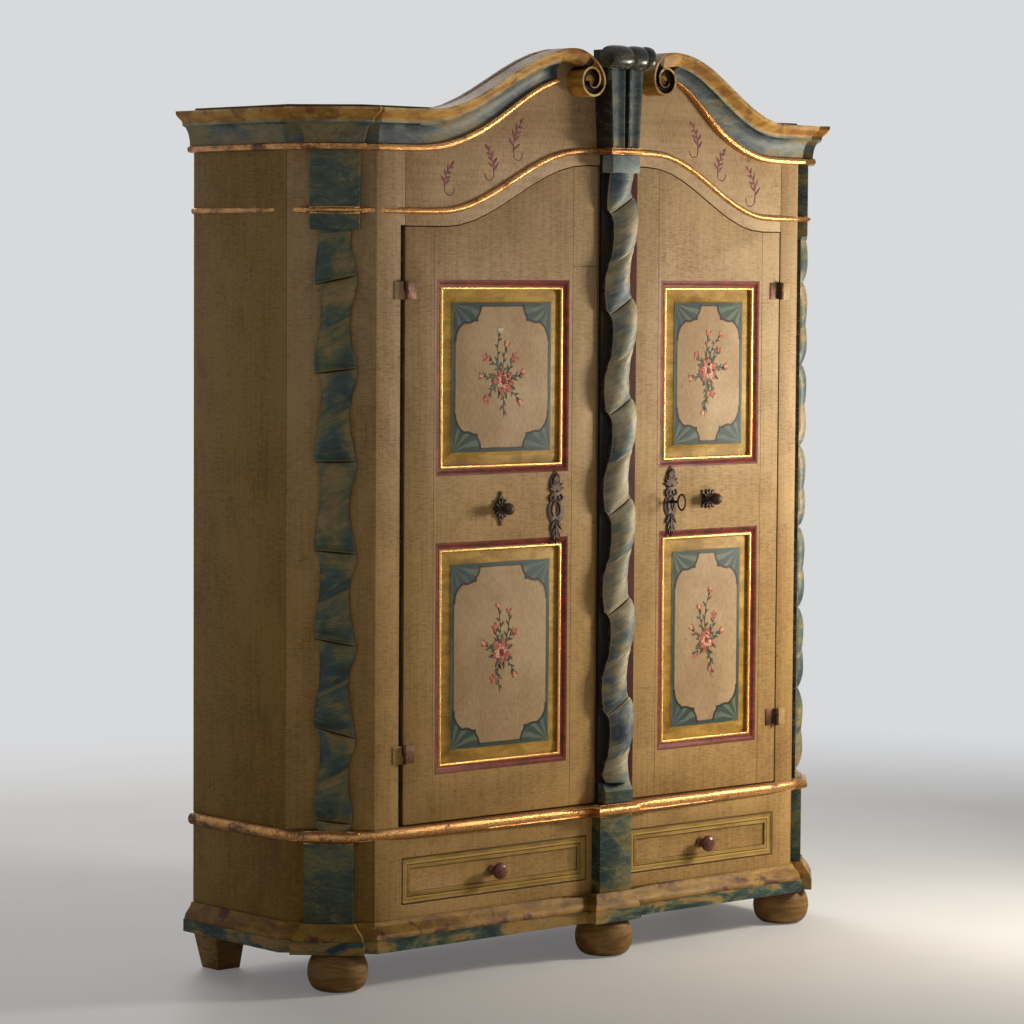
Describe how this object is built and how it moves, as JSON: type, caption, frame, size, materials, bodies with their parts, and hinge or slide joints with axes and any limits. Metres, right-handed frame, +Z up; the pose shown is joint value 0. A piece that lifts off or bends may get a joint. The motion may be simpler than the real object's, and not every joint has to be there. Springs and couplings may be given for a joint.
{
  "type": "wardrobe",
  "caption": "Painted baroque folk wardrobe with canted twisted-pilaster corners, swan-neck pediment, panelled arched doors, drawers and bun feet",
  "frame": {"origin": "on the floor, under the middle of the wardrobe's overall width and depth", "axes": "+Z up, +X to the right of someone who faces the doors, +Y from the front to the back"},
  "size_m": [1.6926, 0.565, 2.1033],
  "materials": {
    "painted_wood": "grained grey-ochre oil paint over softwood, worn",
    "marbled_paint": "marbled blue-green and ochre paint over softwood",
    "ochre_paint": "ochre paint with brown-red strokes over softwood",
    "panel_paint": "beige field painted with flowers, yellow bevel",
    "gilt": "gilt over red bole, worn",
    "plain_wood": "bare aged softwood",
    "dark_iron": "dark forged iron",
    "knob_wood": "polished red-brown turned wood"
  },
  "bodies": {
    "case": {"side_left": "painted_wood", "side_right": "painted_wood", "front_post_left": "painted_wood", "front_post_right": "painted_wood", "frieze": "painted_wood", "back_panel": "plain_wood", "case_floor": "plain_wood", "roof": "plain_wood", "hat_shelf": "plain_wood", "clothes_rail": "plain_wood", "base_left": "painted_wood", "base_right": "painted_wood", "base_back": "plain_wood", "drawer_bed": "plain_wood", "drawer_frame": "painted_wood", "plinth_moulding": "ochre_paint", "waist_moulding": "gilt", "frieze_bead": "gilt", "cornice_left": "ochre_paint", "cornice_right": "ochre_paint", "scroll_left": "ochre_paint", "scroll_right": "ochre_paint", "console": "marbled_paint", "console_roll": "marbled_paint", "pilaster_left": "marbled_paint", "pilaster_right": "marbled_paint", "bun_foot_left": "plain_wood", "bun_foot_centre": "plain_wood", "bun_foot_right": "plain_wood", "rear_foot_left": "plain_wood", "rear_foot_right": "plain_wood", "left_frame_hinge_lower": "dark_iron", "left_frame_hinge_upper": "dark_iron", "right_frame_hinge_lower": "dark_iron", "right_frame_hinge_upper": "dark_iron"},
    "left_door": {"left_door_frame": "painted_wood", "left_door_panel_lower": "panel_paint", "left_door_panel_upper": "panel_paint", "left_door_pull": "dark_iron", "left_escutcheon": "dark_iron", "left_door_hinge_lower": "dark_iron", "left_door_hinge_upper": "dark_iron", "lock_keeper": "dark_iron", "bolt_sleeve": "dark_iron"},
    "right_door": {"right_door_frame": "painted_wood", "right_door_panel_lower": "panel_paint", "right_door_panel_upper": "panel_paint", "right_door_pull": "dark_iron", "right_escutcheon": "dark_iron", "right_door_hinge_lower": "dark_iron", "right_door_hinge_upper": "dark_iron", "pilaster_centre": "marbled_paint", "lock_case": "dark_iron"},
    "door_bolt": {"door_bolt": "dark_iron"},
    "lock_bolt": {"lock_bolt": "dark_iron"},
    "key": {"key": "dark_iron"},
    "left_drawer": {"left_drawer": "ochre_paint", "left_drawer_knob": "knob_wood"},
    "right_drawer": {"right_drawer": "ochre_paint", "right_drawer_knob": "knob_wood"}
  },
  "joints": [
    {"name": "left_door_hinge", "type": "hinge", "parent": "case", "child": "left_door", "pos_m": [-0.573, -0.2033, 1.03], "axis": [0, 0, -1], "range_deg": [0, 105]},
    {"name": "right_door_hinge", "type": "hinge", "parent": "case", "child": "right_door", "pos_m": [0.597, -0.2033, 1.03], "axis": [0, 0, 1], "range_deg": [0, 105]},
    {"name": "left_drawer_slide", "type": "slide", "parent": "case", "child": "left_drawer", "axis": [0, -1, 0], "range_m": [0, 0.3]},
    {"name": "right_drawer_slide", "type": "slide", "parent": "case", "child": "right_drawer", "axis": [0, -1, 0], "range_m": [0, 0.3]},
    {"name": "key_turn", "type": "hinge", "parent": "right_door", "child": "key", "pos_m": [0.241, -0.1955, 1.05], "axis": [0, 1, 0], "range_deg": [0, 180]},
    {"name": "lock_bolt_throw", "type": "slide", "parent": "right_door", "child": "lock_bolt", "axis": [-1, 0, 0], "range_m": [0, 0.014]},
    {"name": "door_bolt_throw", "type": "slide", "parent": "left_door", "child": "door_bolt", "axis": [0, 0, -1], "range_m": [0, 0.016]}
  ],
  "couplings": [
    {"joint": "key_turn", "follows": "lock_bolt_throw", "rad_per_m": 224.39}
  ]
}
